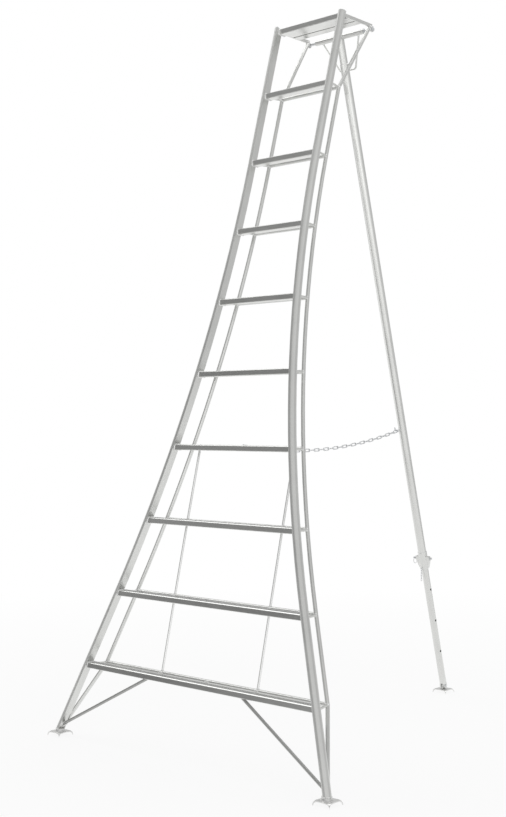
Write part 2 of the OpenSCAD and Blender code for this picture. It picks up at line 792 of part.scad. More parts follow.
// A short keeper chain for the lock pin, hung from a stud on the collar.
module keeper() {
    wire = wire_d / 2;
    bow = bow_r / 2;
    pitch = 3 * wire_d;
    step = wire + free_gap / 2;
    stud = lock_d / 2 + bow + wire;
    down = lock_at + collar_down - 2 * wire_d;
    color(dark_metal) {
        at_leg() translate([0, 0, -down]) difference() {
            rod([0, 0, 0], [0, -stud - wire, 0], wire / 2);
            cylinder(h = collar_up, r = lock_d / 2 + weld_gap, center = true);
        }
        translate([0, hinge_y - stud * cos(leg_lean) + down * sin(leg_lean),
            hinge_z - stud * sin(leg_lean) - down * cos(leg_lean)])
            for (i = [0 : keeper_links - 1])
                translate([0, 0, (step - pitch) / 2 - i * pitch]) rotate([0, 90, 0])
                    rotate([i % 2 == 0 ? 90 : 0, 0, 0]) chain_link(pitch + step, bow, wire);
    }
}

// A ring on the lower tube's top that runs inside the upper tube.
module leg_guide() {
    r = leg_r - leg_wall - run_gap;
    color(metal) at_leg() difference() {
        translate([0, 0, -inner_top]) cylinder(h = leg_d, r = r);
        translate([0, 0, -inner_top - overrun]) cylinder(h = leg_d + 2 * overrun, r = inner_r - leg_wall);
    }
}

module leg_tube_lower() {
    color(metal) at_leg() difference() {
        translate([0, 0, -tube_end]) cylinder(h = tube_end - inner_top - weld_gap, r = inner_r);
        translate([0, 0, -tube_end - overrun])
            cylinder(h = tube_end - inner_top + 2 * overrun, r = inner_r - leg_wall);
        for (k = [-holes_each_way : holes_each_way]) cross_hole(lock_at + k * hole_pitch, pin_r + free_gap);
    }
}

// A plug in the lower tube's end, with two cheeks around the foot's lug.
module leg_end_fork() {
    slot = lug_t + 2 * free_gap;
    cheek_r = pivot_h - foot_h - plate_t;
    color(metal) at_leg() difference() {
        union() {
            translate([0, 0, -tube_end - plate_t / 2]) cylinder(h = 2 * inner_d, r = fork_r);
            translate([-fork_w / 2, 0, -leg_l]) rotate([90, 0, 90]) linear_extrude(fork_w) {
                circle(cheek_r);
                translate([-cheek_r * neck_share, 0]) square([2 * cheek_r * neck_share, inner_r - weld_gap]);
            }
        }
        translate([-slot / 2, -inner_d, -leg_l - inner_d]) cube([slot, 2 * inner_d, inner_d + lug_r + plate_t / 2]);
        translate([0, 0, -leg_l]) rotate([0, 90, 0]) cylinder(h = 2 * inner_d, r = pin_r, center = true);
    }
}

module foot_pivot_pin() {
    color(dark_metal) translate([-fork_w / 2 - plate_t, pivot_y, pivot_h]) rotate([0, 90, 0])
        cylinder(h = fork_w + 2 * plate_t, r = pin_r);
}

module lock_pin() {
    color(dark_metal) at_leg() translate([0, 0, -lock_at]) difference() {
        union() {
            translate([-tail_x - pin_r, 0, 0]) rotate([0, 90, 0]) cylinder(h = 2 * tail_x + pin_r, r = pin_r);
            translate([-ear_x - free_gap - plate_t, 0, 0]) rotate([0, 90, 0])
                cylinder(h = plate_t, r = 1.6 * pin_r);
        }
        translate([-tail_x, 0, 0]) rotate([90, 0, 0])
            cylinder(h = 2 * pin_d, r = ring_wire + ring_room + 2 * weld_gap, center = true);
    }
}

// A pull ring through the lock pin's tail.
module lock_ring() {
    color(dark_metal) at_leg() translate([-tail_x, 0, -lock_at - ring_r]) rotate([0, 90, 0])
        rotate_extrude() translate([ring_r, 0]) circle(ring_wire);
}

stile(-1);  // stile_left
stile(1);  // stile_right
stile_cap(-1);  // stile_cap_left
stile_cap(1);  // stile_cap_right
foot_front(-1);  // foot_left
foot_front(1);  // foot_right
back_tube(-1);  // back_tube_left
back_tube(1);  // back_tube_right
for (i = [1 : tread_count]) tread_front(i);
for (i = [1 : tread_count]) tread_rear(i);
side_links(-1);  // side_links_left
side_links(1);  // side_links_right
tread_ties();
inner_rods(-1);  // inner_rods_left
inner_rods(1);  // inner_rods_right
brace(-1);  // brace_left
brace(1);  // brace_right
platform_front_bar();
platform_slat_front();
platform_slat_rear();
platform_side(-1);  // platform_side_left
platform_side(1);  // platform_side_right
hinge_rod();
hinge_collars();
chain_eye();
hinge_sleeve();
leg_head();
leg_tube_upper();
leg_yoke();
lock_collar();
lock_ears();
chain_hook();
keeper();
leg_guide();
leg_tube_lower();
leg_end_fork();
foot_pivot_pin();
foot_rear();
lock_pin();
lock_ring();
chain_links_front();
chain_link_mid();
chain_links_rear();
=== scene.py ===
"""Looks of the orchard picking ladder: metal finishes, weld seams, caps, feet, fittings and the studio."""

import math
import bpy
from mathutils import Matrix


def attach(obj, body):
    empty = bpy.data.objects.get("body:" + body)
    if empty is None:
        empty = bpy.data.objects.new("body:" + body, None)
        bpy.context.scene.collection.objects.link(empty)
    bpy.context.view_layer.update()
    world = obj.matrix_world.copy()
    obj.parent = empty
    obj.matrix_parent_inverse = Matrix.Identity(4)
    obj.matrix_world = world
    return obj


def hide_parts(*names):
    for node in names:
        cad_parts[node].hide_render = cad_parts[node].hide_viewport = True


bl_info = {
    "name": "Picking Ladder Looks",
    "version": (1, 0, 0),
    "blender": (4, 5, 0),
    "location": "View3D > Sidebar > Ladder",
    "description": "Dresses the packed ladder with metal finishes, weld seams, caps, feet and fittings",
    "category": "Object",
}

import bpy
from bpy.props import FloatProperty, FloatVectorProperty, IntProperty, PointerProperty
from mathutils import Matrix, Vector

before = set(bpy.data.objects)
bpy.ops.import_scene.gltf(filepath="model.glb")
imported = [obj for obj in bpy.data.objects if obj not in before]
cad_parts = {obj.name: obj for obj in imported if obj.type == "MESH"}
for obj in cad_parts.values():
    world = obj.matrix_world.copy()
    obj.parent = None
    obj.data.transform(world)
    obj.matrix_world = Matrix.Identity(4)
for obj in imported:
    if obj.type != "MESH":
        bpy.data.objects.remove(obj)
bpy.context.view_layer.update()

X_AXIS = Vector((1, 0, 0))
Y_AXIS = Vector((0, 1, 0))
Z_AXIS = Vector((0, 0, 1))

# Sizes of the solids, in metres and radians, which the added pieces are worked out from.
# Treads and platform
TREAD_PITCH = 0.300
FIRST_TREAD_Z = 0.295
TREAD_COUNT = 9
TREADS = range(1, TREAD_COUNT + 1)
BAR_D = 0.038
BAR_H = 0.023
BAR_SET = 0.009
NOSE_R = 0.0135
NOSE_FLAT = 0.0035
PLATFORM_Z = 2.993
DECK_SET = 0.002
SIDE_X = 0.173
SIDE_T = 0.006
SIDE_H = 0.014
SIDE_LOW = PLATFORM_Z + BAR_H / 2 - SIDE_H
SLAT_T = 0.014
SLAT_GAP = 0.007
SLAT_FRONT_D = 0.050
SLAT_REAR_D = 0.040

# Stiles and their feet
LEAN = math.radians(15.4)
BEND_TURN = math.radians(19.8)
BEND_ROLL = math.radians(6.4)
BEND_RADIUS = 5.46
BEND_TREAD = 8
BEND_Z = FIRST_TREAD_Z + (BEND_TREAD - 1) * TREAD_PITCH
TOP_GAP = 0.334
BASE_DEPTH = 1.782
STILE_R = 0.0175
STILE_MID = 0.0065
STILE_OVER = 0.014
STILE_TOP_Z = PLATFORM_Z + STILE_OVER
FOOT_BACK = 0.004
FOOT_H = 0.016
FOOT_SHIFT = 0.006

# Rear tubes, links, rods, ties and braces
REAR_R = 0.008
REAR_SHIFT = Vector((-0.0116, 0.088, 0))
TURN_FOOT_SHARE = 0.13
TURN_FOOT_Z = TURN_FOOT_SHARE * FIRST_TREAD_Z
LINK_R = 0.005
LINK_OUT = 0.0104
ROD_R = 0.005
ROD_X = 0.256
ROD_TREADS = 4
TIE_W = 0.014
TIE_T = 0.005
BRACE_R = 0.006
BRACE_FOOT_Z = 0.048

# Hinge, rear leg and its foot
HINGE_R = 0.006
HINGE_BACK = 0.214
HINGE_DROP = 0.009
HINGE_END = SIDE_X + SIDE_T / 2 + HINGE_R
SLEEVE_R = 0.011
NECK_R = 0.01692
NECK_L = 0.116
NECK_TOP_SHARE = 0.62
LEG_R = 0.019
LOWER_LEG_R = 0.016
YOKE_R = 0.0038
YOKE_TOP_X = 0.100
YOKE_LOW_X = 0.041
YOKE_BACK = 0.0232
YOKE_DOWN = 0.143
LOCK_AT = 2.412
LOCK_R = 0.0215
COLLAR_UP = 0.030
COLLAR_DOWN = 0.050
EAR_T = 0.014
EAR_L = 0.055
EAR_DOWN = 0.0185
PIVOT_Z = 0.033
PIN_R = 0.005

# Chain's eye and hook
CHAIN_X = -0.033
CHAIN_TREAD = 4
EYE_R = 0.0028
EYE_HALF_W = 0.010
EYE_WAY = Vector((0, 0.019, 0.006)).normalized()
HOOK_AT = 1.788

# Counts and small sizes of the added pieces
BEAD_SIDES = 8
MERGE_GAP = 0.000002
NOSE_STEPS = 12
STILE_STEPS = 32
TIE_STEPS = 24
SLAT_STEPS = 48
SLAT_BEAD_SHARE = 0.7
SLAT_BEAD_H = 0.9 * SLAT_T
YOKE_SEAT_STEPS = 28
YOKE_SEAT_HALF_W = 0.012
YOKE_SEAT_HALF_L = 0.0052
EAR_STEPS = 40
CAP_STEPS = 48
CAP_MIDDLE_SHARE = 0.7
PLATE_CUTS = 56
CLAW_START = 0.5
EDGE_ARCH = 0.16
PLATE_DOME_H = 0.003
PLATE_DOME_AREA = 0.0005
SINK = 0.001
SOCKET_STEPS = 48
LUG_STEPS = 48
LUG_T = 0.008
LUG_R = 0.010
LUG_HALF_W = 0.0092
LUG_EASE = 0.0008
LUG_ROUND_FROM = -0.4
LUG_TINY = 0.001
BORE_GAP = 0.0001
DOME_STEPS = 32
WASHER_STEPS = 36
SPLIT_PIN_STEPS = 40
SPLIT_PIN_IN = 0.0010
SPLIT_PIN_HALF_L = 0.0095
SPLIT_PIN_HALF_W = 0.0009
SPLIT_PIN_EYE = 0.0022
SPLIT_PIN_LEAN = 0.3

# Angles in degrees below which neighbouring faces are shaded as one.
WELD_ANGLE = 40
FORM_ANGLE = 50

# A cap's section: share of the way in from its edge, and share of its rise.
CAP_DOME = ((1.0, 0.02), (0.0, 0.02), (0.0, 0.45), (0.06, 0.7), (0.2, 0.86), (0.5, 0.97), (1.0, 1.0))
# A socket's flare above its base and its lip at the rim: radius beyond the socket's, and height.
SOCKET_FLARE = ((0.006, 0.0), (0.0045, 0.003), (0.0015, 0.006), (0.0, 0.010))
SOCKET_LIP = (
    (0.0, -0.0025), (0.0008, -0.0018), (0.0008, -0.0006), (-0.0002, 0.0), (-0.0035, 0.0), (-0.0045, -0.002))
# The hinge rod's end: share of its radius, and distance out. The washer: radius, and distance out.
ROD_DOME = ((0.0, -0.0004), (1.0, -0.0004), (1.0, 0.0002), (0.9, 0.0010), (0.6, 0.0018), (0.0, 0.0021))
WASHER_EDGE = ((0.0085, -0.0014), (0.0092, -0.0010), (0.0092, -0.0005), (0.0088, -0.0002))

# Grain of the metals: fine lines up a tube or across a bar, and the height of their relief.
GRAIN_UP = (500, 500, 5)
GRAIN_ACROSS = (5, 500, 500)
RELIEF_H = 0.0004
# Heights between which the painted shade on the treads' front faces is painted lighter, and by how much.
PAINTED_LIGHT_LOW = 1.5
PAINTED_LIGHT_HIGH = 2.9
PAINTED_LIGHT_GAIN = 1.9

# Directions in the studio: the dark corner that the treads' faces mirror, and what lies around it.
DARK_SIDE = (-0.66, -0.75, 0.0)
DARK_ACROSS = (0.75, -0.66, 0.0)
FAR_RIGHT = (0.63, 0.77, 0.0)
BEHIND = (-0.67, 0.74, 0.0)
CAMERA_SIDE = (0.61, -0.79, 0.0)
WINDOW = (-0.62, -0.08, 0.78)
# Lamp and camera
SOFTBOX_PLACE = Vector((0.4, 1.4, 5.6))
SOFTBOX_TARGET = Vector((0.0, 0.0, 1.5))
SOFTBOX_SIZE = 4.0
SOFTBOX_POWER = 60
SENSOR_MM = 36
VIEW_REACH = 100

# Directions of the right stile: up, to the back, into the bend, and down its lower end.
UP_DIR = Vector((0, math.sin(LEAN), math.cos(LEAN)))
BACK_DIR = Vector((0, math.cos(LEAN), -math.sin(LEAN)))
BEND_DIR = math.cos(BEND_ROLL) * X_AXIS + math.sin(BEND_ROLL) * BACK_DIR
LOW_DIR = math.sin(BEND_TURN) * BEND_DIR - math.cos(BEND_TURN) * UP_DIR


# Places on the ladder

def arc_way(turn):
    """Way from the bend's start to the place where the stile has turned by an angle."""
    return BEND_RADIUS * ((1 - math.cos(turn)) * BEND_DIR - math.sin(turn) * UP_DIR)


ARC_END = arc_way(BEND_TURN)


def bend_at(z):
    """Angle by which the stile has turned outwards at a height."""
    if z >= BEND_Z:
        return 0.0
    if z <= BEND_Z + ARC_END.z:
        return BEND_TURN
    a = BEND_RADIUS * UP_DIR.z
    b = -BEND_RADIUS * BEND_DIR.z
    return math.atan2(b, a) + math.asin((BEND_Z - z - b) / math.hypot(a, b))


def stile_way(z):
    """Way along the stile's flat face from the bend's start to a height."""
    if z >= BEND_Z:
        return UP_DIR * (z - BEND_Z) / UP_DIR.z
    low_z = BEND_Z + ARC_END.z
    if z <= low_z:
        return ARC_END + LOW_DIR * (z - low_z) / LOW_DIR.z
    return arc_way(bend_at(z))


BEND_START = Vector((TOP_GAP / 2, -BASE_DEPTH / 2 - FOOT_BACK - stile_way(FOOT_H).y, BEND_Z))


def stile_point(z):
    """Middle of the right stile's flat face at a height."""
    return BEND_START + stile_way(z)


def stile_axes(z):
    """Directions out of the flat face, to the back and up the right stile, as a matrix's columns."""
    lean = Matrix.Rotation(-LEAN, 3, "X") @ Matrix.Rotation(BEND_ROLL, 3, "Z")
    return lean @ Matrix.Rotation(-bend_at(z), 3, "Y") @ Matrix.Rotation(-BEND_ROLL, 3, "Z")


def stile_middle(z):
    """Point on the axis of the right stile's round tube at a height."""
    return stile_point(z) + stile_axes(z).col[0] * STILE_MID


def rear_point(z):
    """Point on the right rear tube's axis at a height."""
    return stile_point(z) + REAR_SHIFT


def tread_z(i):
    """Height of the middle of a tread, counted from 1."""
    return FIRST_TREAD_Z + (i - 1) * TREAD_PITCH


DECK_Y = stile_point(PLATFORM_Z).y - DECK_SET
HINGE = Vector((0, DECK_Y + HINGE_BACK, PLATFORM_Z - HINGE_DROP))
PIVOT = Vector((0, BASE_DEPTH / 2, PIVOT_Z))
LEG_DOWN = (PIVOT - HINGE).normalized()
LEG_LEAN = math.atan2(LEG_DOWN.y, -LEG_DOWN.z)
LEG_BACK = Vector((0, math.cos(LEG_LEAN), math.sin(LEG_LEAN)))


def on_leg(x, back, down):
    """Point beside the rear leg: across, behind its axis, and down from the hinge."""
    return HINGE + X_AXIS * x + LEG_BACK * back + LEG_DOWN * down


# Values that a user would change

class LadderSizes(bpy.types.PropertyGroup):
    """Sizes of the pieces that are added to the solids."""

    bead: FloatProperty(
        name="Weld bead", description="Radius of a weld bead on the bars", default=0.0026, unit="LENGTH")
    fine_bead: FloatProperty(
        name="Fine bead", description="Radius of a weld bead on the rods", default=0.0017, unit="LENGTH")
    ripple: FloatProperty(
        name="Ripple", description="Share by which a bead swells at each ripple",
        default=0.22, subtype="FACTOR")
    bead_steps: IntProperty(name="Bead steps", description="Points around one bead", default=36)
    cap_rise: FloatProperty(
        name="Cap dome", description="Height of the dome on a stile cap", default=0.005, unit="LENGTH")
    foot_reach: FloatProperty(
        name="Foot reach", description="Distance from a foot's middle to a claw's tip",
        default=0.0532, unit="LENGTH")
    foot_plate: FloatProperty(
        name="Foot plate", description="Thickness of the pressed foot plate", default=0.0035, unit="LENGTH")
    socket_r: FloatProperty(
        name="Socket", description="Radius of the socket that holds a stile's end",
        default=0.0184, unit="LENGTH")
    socket_top: FloatProperty(
        name="Socket top", description="Height of that socket's rim", default=0.029, unit="LENGTH")
    pin_wire: FloatProperty(
        name="Split pin wire", description="Radius of the wire of a split pin",
        default=0.0008, unit="LENGTH")


class LadderFinishes(bpy.types.PropertyGroup):
    """Colours of the metals."""

    aluminium: FloatVectorProperty(
        name="Aluminium", description="Colour of the drawn aluminium",
        default=(0.722, 0.726, 0.71), subtype="COLOR")
    # Weld colour: partly the beads' lighter metal, partly a painted highlight.
    weld: FloatVectorProperty(
        name="Weld", description="Colour of the weld beads", default=(0.93, 0.93, 0.92), subtype="COLOR")
    zinc: FloatVectorProperty(
        name="Zinc", description="Colour of the galvanised chain and pins",
        default=(0.7, 0.71, 0.72), subtype="COLOR")
    foot: FloatVectorProperty(
        name="Foot", description="Colour of the pressed feet", default=(0.74, 0.74, 0.73), subtype="COLOR")
    cap: FloatVectorProperty(
        name="Cap", description="Colour of the stile caps", default=(0.55, 0.56, 0.55), subtype="COLOR")


class LadderStudio(bpy.types.PropertyGroup):
    """The camera and the floor."""

    lens: FloatProperty(
        name="Lens", description="Focal length on a 36 mm sensor, in millimetres", default=54.78)
    eye: FloatVectorProperty(
        name="Camera", description="Place of the camera", default=(3.3513, -4.2018, 1.2831), subtype="XYZ")
    azimuth: FloatProperty(
        name="Azimuth", description="Turn of the view to the left",
        default=math.radians(42.06), subtype="ANGLE")
    pitch: FloatProperty(
        name="Pitch", description="Upward tilt of the view", default=math.radians(0.8), subtype="ANGLE")
    roll: FloatProperty(
        name="Roll", description="Turn of the picture", default=math.radians(0.135), subtype="ANGLE")
    floor_size: FloatProperty(name="Floor", description="Side of the floor", default=40.0, unit="LENGTH")


def sizes():
    """The sizes in the sidebar."""
    return bpy.context.scene.ladder_sizes


def finishes():
    """The colours in the sidebar."""
    return bpy.context.scene.ladder_finishes


# Shaders

def add_socket(group, name, way, kind, default=None):
    """Adds a named input or output to a node group."""
    socket = group.interface.new_socket(name=name, in_out=way, socket_type=kind)
    if default is not None:
        socket.default_value = default


def noise(tree, vector, scale, detail, rough):
    """Adds a noise texture on a vector and returns its value."""
    node = tree.nodes.new("ShaderNodeTexNoise")
    node.inputs["Scale"].default_value = scale
    node.inputs["Detail"].default_value = detail
    node.inputs["Roughness"].default_value = rough
    tree.links.new(vector, node.inputs["Vector"])
    return node.outputs["Fac"]


def maths(tree, operation, first, second):
    """Adds a math node whose operands are sockets or numbers."""
    node = tree.nodes.new("ShaderNodeMath")
    node.operation = operation
    for slot, operand in zip(node.inputs, (first, second)):
        if isinstance(operand, (int, float)):
            slot.default_value = operand
        else:
            tree.links.new(operand, slot)
    return node.outputs[0]


def spread(tree, value, low, high, to_low, to_high):
    """Maps a value from one range to another, clamped."""
    node = tree.nodes.new("ShaderNodeMapRange")
    for name, number in (("From Min", low), ("From Max", high), ("To Min", to_low), ("To Max", to_high)):
        node.inputs[name].default_value = number
    tree.links.new(value, node.inputs["Value"])
    return node.outputs["Result"]


def split(tree, vector):
    """Adds a node that splits a vector and returns its outputs."""
    node = tree.nodes.new("ShaderNodeSeparateXYZ")
    tree.links.new(vector, node.inputs[0])
    return node.outputs


def toward(tree, vector, direction):
    """Dot product of a vector with a fixed direction."""
    node = tree.nodes.new("ShaderNodeVectorMath")
    node.operation = "DOT_PRODUCT"
    node.inputs[1].default_value = direction
    tree.links.new(vector, node.inputs[0])
    return node.outputs["Value"]


def drawn_metal_group():
    """Tone, gloss and height of drawn metal: fine lines along one axis, broad smudges and light scuffs."""
    found = bpy.data.node_groups.get("drawn metal")
    if found:
        return found
    group = bpy.data.node_groups.new("drawn metal", "ShaderNodeTree")
    add_socket(group, "Along", "INPUT", "NodeSocketVector")
    add_socket(group, "Place", "INPUT", "NodeSocketVector")
    add_socket(group, "Line share", "INPUT", "NodeSocketFloat", 0.5)
    for name in ("Tone", "Gloss", "Height"):
        add_socket(group, name, "OUTPUT", "NodeSocketFloat")
    ins = group.nodes.new("NodeGroupInput").outputs
    outs = group.nodes.new("NodeGroupOutput").inputs
    lines = noise(group, ins["Along"], 1.0, 5.0, 0.65)
    smudge = noise(group, ins["Place"], 7.0, 4.0, 0.55)
    scuff = noise(group, ins["Place"], 60.0, 6.0, 0.7)
    marks = spread(group, scuff, 0.6, 0.72, 0.0, 1.0)
    lined = maths(group, "MULTIPLY", lines, ins["Line share"])
    tone = maths(group, "ADD", lined, maths(group, "MULTIPLY", smudge, 0.6))
    group.links.new(maths(group, "SUBTRACT", tone, maths(group, "MULTIPLY", marks, 0.1)), outs["Tone"])
    lined = maths(group, "MULTIPLY", lines, 0.45)
    gloss = maths(group, "ADD", lined, maths(group, "MULTIPLY", smudge, 0.55))
    group.links.new(maths(group, "ADD", gloss, maths(group, "MULTIPLY", marks, 0.2)), outs["Gloss"])
    group.links.new(maths(group, "SUBTRACT", lines, maths(group, "MULTIPLY", marks, 0.3)), outs["Height"])
    return group


def metal(name, colour, turn, grain, rough, contrast=0.18, bump=0.12, front=1.0):
    """A metal with its grain along one axis of the turned place. front is the share of painted shade on
    faces that look forward.
    """
    found = bpy.data.materials.get(name)
    if found:
        return found
    material = bpy.data.materials.new(name)
    material.use_nodes = True
    tree = material.node_tree
    shader = tree.nodes["Principled BSDF"]
    shader.inputs["Metallic"].default_value = 1.0
    coordinates = tree.nodes.new("ShaderNodeTexCoord").outputs
    place = coordinates["Object"]
    mapping = tree.nodes.new("ShaderNodeMapping")
    mapping.inputs["Rotation"].default_value = turn
    mapping.inputs["Scale"].default_value = grain
    tree.links.new(place, mapping.inputs["Vector"])
    group = tree.nodes.new("ShaderNodeGroup")
    group.node_tree = drawn_metal_group()
    tree.links.new(mapping.outputs["Vector"], group.inputs["Along"])
    tree.links.new(place, group.inputs["Place"])
    ramp = tree.nodes.new("ShaderNodeMix")
    ramp.data_type = "RGBA"
    ramp.inputs["A"].default_value = [c * (1 - contrast) for c in colour] + [1]
    ramp.inputs["B"].default_value = [min(c * (1 + contrast), 0.97) for c in colour] + [1]
    tree.links.new(group.outputs["Tone"], ramp.inputs["Factor"])
    shade = tree.nodes.new("ShaderNodeVectorMath")
    shade.operation = "SCALE"
    tree.links.new(ramp.outputs["Result"], shade.inputs[0])
    # Painted shade and painted light on faces that look forward.
    tree.links.new(front_shade(tree, coordinates, front), shade.inputs["Scale"])
    tree.links.new(shade.outputs["Vector"], shader.inputs["Base Color"])
    tree.links.new(spread(tree, group.outputs["Gloss"], 0.3, 0.75, *rough), shader.inputs["Roughness"])
    relief = tree.nodes.new("ShaderNodeBump")
    relief.inputs["Strength"].default_value = bump
    relief.inputs["Distance"].default_value = RELIEF_H
    tree.links.new(group.outputs["Height"], relief.inputs["Height"])
    tree.links.new(relief.outputs["Normal"], shader.inputs["Normal"])
    return material


def front_shade(tree, coordinates, front):
    """Painted shade and light: the share front on faces that look forward, painted lighter high up, and one
    on all others.
    """
    height = split(tree, coordinates["Object"])["Z"]
    # Painted light: the painted shade on forward faces is lifted higher up.
    lit_higher = spread(tree, height, PAINTED_LIGHT_LOW, PAINTED_LIGHT_HIGH, front, min(front * PAINTED_LIGHT_GAIN, 1.0))
    # Faces turned up, down or to the back get no painted shade.
    facing = split(tree, coordinates["Normal"])
    upper = spread(tree, facing["Z"], 0.2, 0.5, 0.0, 1.0)
    lower = spread(tree, facing["Z"], -0.45, 0.06, 1.0, 0.0)
    rear = spread(tree, facing["Y"], -0.5, -0.2, 0.0, 1.0)
    elsewhere = maths(tree, "MAXIMUM", maths(tree, "MAXIMUM", upper, lower), rear)
    return maths(tree, "MAXIMUM", lit_higher, elsewhere)


def stile_aluminium():
    """Satin tube, drawn along the stiles."""
    return metal("stile aluminium", finishes().aluminium, (LEAN, 0, 0), GRAIN_UP, (0.26, 0.42))


def rear_aluminium():
    """The thin rear tubes, smoother than the stiles."""
    return metal("rear aluminium", finishes().aluminium, (LEAN, 0, 0), GRAIN_UP, (0.28, 0.4), bump=0.06)


def rod_aluminium():
    """The bright upright rods."""
    bright = [min(c * 1.18, 0.9) for c in finishes().aluminium]
    return metal("rod aluminium", bright, (LEAN, 0, 0), GRAIN_UP, (0.16, 0.3))


def leg_aluminium():
    """Satin tube, drawn along the rear leg."""
    return metal("leg aluminium", finishes().aluminium, (-LEG_LEAN, 0, 0), GRAIN_UP, (0.22, 0.36))


def bar_aluminium():
    """Satin bars that lie across the ladder."""
    return metal("bar aluminium", finishes().aluminium, (0, 0, 0), GRAIN_ACROSS, (0.26, 0.42))


def tread_aluminium():
    """Bars with painted shade on their grooved front faces, painted lighter high up."""
    return metal("tread aluminium", finishes().aluminium, (0, 0, 0), GRAIN_ACROSS, (0.26, 0.42), front=0.5)


def brace_aluminium():
    """The dull braces, their aluminium painted darker as shade."""
    # Painted shade: the same aluminium, darkened.
    dull = [c * 0.62 for c in finishes().aluminium]
    return metal("brace aluminium", dull, (0, 0, 0), (300,) * 3, (0.4, 0.55))


def weld_metal():
    """Weld beads of lighter metal, painted brighter still as a stand-in for the highlights at the joints."""
    return metal("weld metal", finishes().weld, (0, 0, 0), (300,) * 3, (0.2, 0.4), contrast=0.22)


def zinc_steel():
    """Galvanised chain, rod and pins."""
    return metal("zinc steel", finishes().zinc, (0, 0, 0), (160,) * 3, (0.28, 0.5), contrast=0.3)


def foot_metal():
    """The pressed feet."""
    return metal("foot metal", finishes().foot, (0, 0, 0), (220,) * 3, (0.3, 0.5), contrast=0.2)


def cap_metal():
    """The stiles' caps."""
    return metal("cap metal", finishes().cap, (0, 0, 0), (180,) * 3, (0.35, 0.55), contrast=0.15)


# Finish of each solid, by the start of its name. The first that fits is taken.
NODE_FINISHES = (
    (("stile_cap",), cap_metal),
    (("hinge_rod", "hinge_collars", "chain", "keeper", "lock_pin", "lock_ring", "foot_pivot"), zinc_steel),
    (("foot_",), foot_metal),
    (("stile_left", "stile_right"), stile_aluminium),
    (("back_tube", "side_links"), rear_aluminium),
    (("inner_rods",), rod_aluminium),
    (("leg_", "lock_collar", "lock_ears"), leg_aluminium),
    (("tread_front", "platform_front"), tread_aluminium),
    (("brace",), brace_aluminium),
    (("",), bar_aluminium),
)


# Modelling helpers

def deselect():
    """Selects nothing."""
    bpy.ops.object.select_all(action="DESELECT")


def made():
    """The object that the last operator made."""
    return bpy.context.view_layer.objects.active


def join(pieces, name):
    """Joins pieces into one, faces outwards, and names it."""
    deselect()
    for piece in pieces:
        piece.select_set(True)
    bpy.context.view_layer.objects.active = pieces[0]
    if len(pieces) > 1:
        bpy.ops.object.join()
    piece = made()
    bpy.ops.object.mode_set(mode="EDIT")
    bpy.ops.mesh.select_all(action="SELECT")
    bpy.ops.mesh.normals_make_consistent(inside=False)
    bpy.ops.object.mode_set(mode="OBJECT")
    piece.name = name
    piece.data.name = name
    return piece


def finish_piece(piece, material, body, angle=WELD_ANGLE):
    """Gives a piece its shading, its material and the body it rides on."""
    deselect()
    piece.select_set(True)
    bpy.context.view_layer.objects.active = piece
    bpy.ops.object.shade_smooth_by_angle(angle=math.radians(angle))
    piece.data.materials.clear()
    piece.data.materials.append(material)
    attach(piece, body)


def mirrored(points):
    """The same points on the left side."""
    return [Vector((-p.x, p.y, p.z)) for p in points]


def circle(steps, start=0.0):
    """Cosine and sine at equal turns around a circle."""
    turns = [2 * math.pi * (i + start) / steps for i in range(steps)]
    return [(math.cos(turn), math.sin(turn)) for turn in turns]


def across(direction, hint):
    """Two directions across a bar, the first square to a hint."""
    first = direction.cross(hint).normalized()
    return first, first.cross(direction).normalized()


def skin(rows):
    """A skin through rows of points, each row a closed ring and a row of equal points a closed end."""
    columns = len(rows[0])
    deselect()
    bpy.ops.mesh.primitive_grid_add(x_subdivisions=columns, y_subdivisions=len(rows) - 1, size=1)
    piece = made()
    for k, row in enumerate(rows):
        for i in range(columns + 1):
            piece.data.vertices[k * (columns + 1) + i].co = row[i % columns]
    bpy.ops.object.mode_set(mode="EDIT")
    bpy.ops.mesh.select_all(action="SELECT")
    bpy.ops.mesh.remove_doubles(threshold=MERGE_GAP)
    bpy.ops.object.mode_set(mode="OBJECT")
    return piece


def skins(rows):
    """A skin on the right side, and its mirror image on the left."""
    return [skin(rows), skin([mirrored(row) for row in rows])]


def turned(middle, axis, profile, steps):
    """Rings of a turned piece: profile lists pairs of radius and distance along the axis from the middle."""
    first, second = across(axis, axis.orthogonal())
    rows = []
    for radius, along in profile:
        rows.append([middle + axis * along + radius * (c * first + s * second) for c, s in circle(steps)])
    return rows


# Weld beads

def bead(path, outs, along, wire):
    """One rippled bead around a closed path. outs point away from the bar, and along runs up it."""
    deselect()
    bpy.ops.mesh.primitive_torus_add(major_segments=len(path), minor_segments=BEAD_SIDES)
    piece = made()
    section = circle(BEAD_SIDES)
    for i, (point, out) in enumerate(zip(path, outs)):
        size = wire * (1 + sizes().ripple * (i % 2))
        for k, (c, s) in enumerate(section):
            piece.data.vertices[i * BEAD_SIDES + k].co = point + size * (c * out + s * along)
    return piece


def beads(seam, along, wire, both=True):
    """A bead along a seam, its path and outs, on the right side, and its mirror image on the left."""
    path, outs = seam
    found = [bead(path, outs, along, wire)]
    if both:
        found.append(bead(mirrored(path), mirrored(outs), mirrored([along])[0], wire))
    return found


def saddle(at, direction, radius, tube_at, tube_dir, tube_r):
    """Seam where a round bar leaves a round tube."""
    first, second = across(direction, tube_dir)
    flat = direction - direction.dot(tube_dir) * tube_dir
    a = flat.dot(flat)
    path = []
    outs = []
    for c, s in circle(sizes().bead_steps):
        out = c * first + s * second
        start = at + radius * out
        off = start - tube_at
        off = off - off.dot(tube_dir) * tube_dir
        b = off.dot(flat)
        room = max(b * b - a * (off.dot(off) - tube_r * tube_r), 0)
        path.append(start + direction * (math.sqrt(room) - b) / a)
        outs.append(out)
    return path, outs


